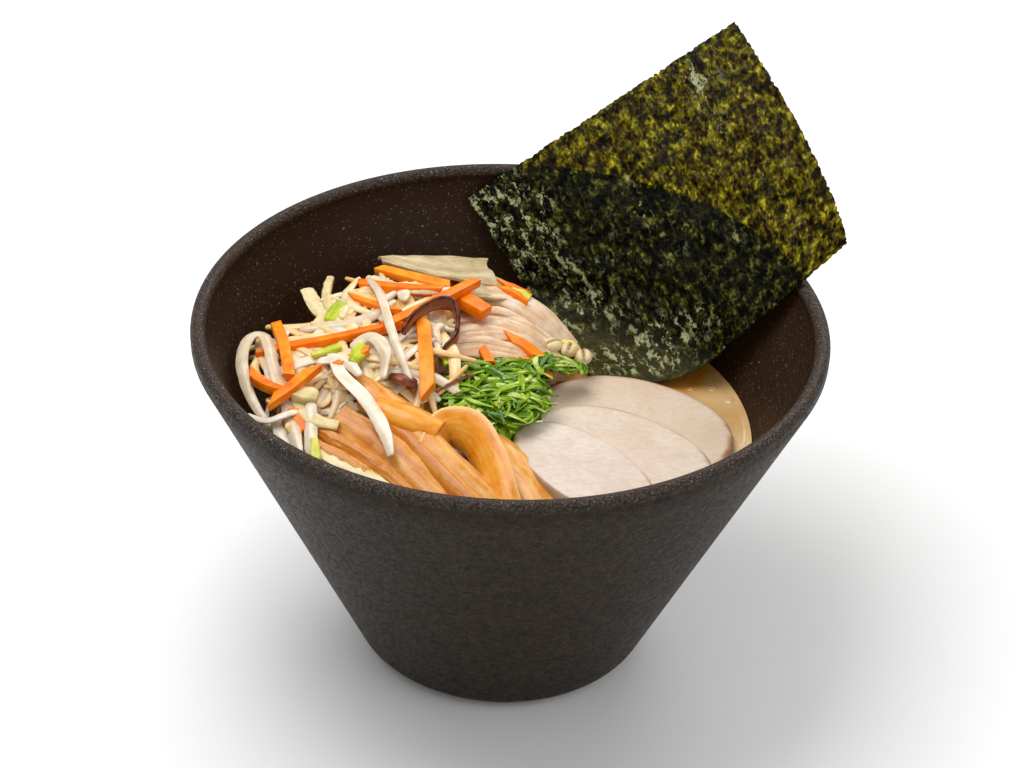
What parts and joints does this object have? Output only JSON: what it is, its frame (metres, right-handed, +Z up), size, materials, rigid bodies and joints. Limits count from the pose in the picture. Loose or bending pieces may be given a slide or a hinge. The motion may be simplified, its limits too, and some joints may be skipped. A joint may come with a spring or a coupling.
{
  "type": "ramen bowl",
  "caption": "Tall black stoneware bowl of noodle soup, topped with sliced chicken, bamboo shoot, vegetables, scallion and a leaning sheet of seaweed.",
  "frame": {"origin": "middle of the bowl's flat foot, on the table", "axes": "+Z up; -Y towards the eater, so +X is the eater's right; the seaweed leans on the far rim, towards +Y"},
  "size_m": [0.2057, 0.2167, 0.168],
  "materials": {
    "stoneware": "black stoneware glaze, fine matt speckle, satin lip",
    "broth": "cream soup with small oil drops, wet",
    "seaweed": "toasted seaweed, crinkled, translucent, wet at the foot",
    "chicken": "poached breast, fine fibres, moist",
    "bamboo": "braised bamboo shoot, ribbed, wet",
    "vegetable": "carrot, bean sprout, cabbage and wood ear, moist",
    "noodle": "boiled wheat noodle, moist",
    "scallion": "shredded green onion, moist"
  },
  "bodies": {
    "root": {"bowl": "stoneware", "broth": "broth", "seaweed": "seaweed", "chicken_1": "chicken", "chicken_2": "chicken", "chicken_3": "chicken", "bamboo_1": "bamboo", "bamboo_2": "bamboo", "bamboo_3": "bamboo", "bamboo_4": "bamboo", "bamboo_5": "bamboo", "bamboo_6": "bamboo", "vegetables": "vegetable", "noodles": "noodle", "scallions": "scallion"}
  },
  "joints": []
}
